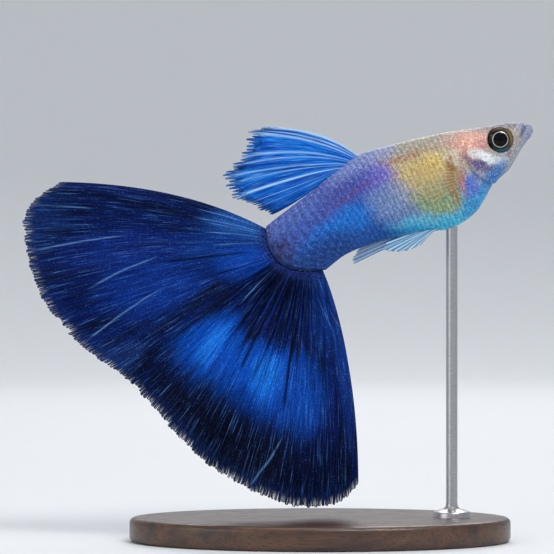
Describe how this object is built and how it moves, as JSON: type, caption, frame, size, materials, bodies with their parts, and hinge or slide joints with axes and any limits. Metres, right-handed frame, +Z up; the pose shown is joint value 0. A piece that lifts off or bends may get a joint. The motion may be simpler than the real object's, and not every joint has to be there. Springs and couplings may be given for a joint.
{
  "type": "fancy guppy on a display stand",
  "caption": "Life-size still model of a male fancy guppy with a spread tail fin, held on a rod above an oval display base.",
  "frame": {"origin": "middle of the underside of the stand's base", "axes": "+X the way the fish faces, +Y its left side, +Z up"},
  "size_m": [0.0535, 0.024, 0.044],
  "materials": {
    "skin": "glossy iridescent",
    "stalk_skin": "glossy iridescent",
    "tail_membrane": "satin iridescent",
    "dorsal_membrane": "satin iridescent",
    "clear_membrane": "glossy",
    "eye": "polished",
    "stand_wood": "satin",
    "stand_steel": "brushed"
  },
  "bodies": {
    "root": {"head": "skin", "gill_cover_left": "skin", "gill_cover_right": "skin", "trunk": "skin", "tail_stalk": "stalk_skin", "tail_fin": "tail_membrane", "dorsal_fin": "dorsal_membrane", "gonopodium": "clear_membrane", "pelvic_fin_left": "clear_membrane", "pelvic_fin_right": "clear_membrane", "pectoral_fin_left": "clear_membrane", "pectoral_fin_right": "clear_membrane", "eye_left": "eye", "eye_right": "eye", "stand_base": "stand_wood", "stand_rod": "stand_steel"}
  },
  "joints": []
}
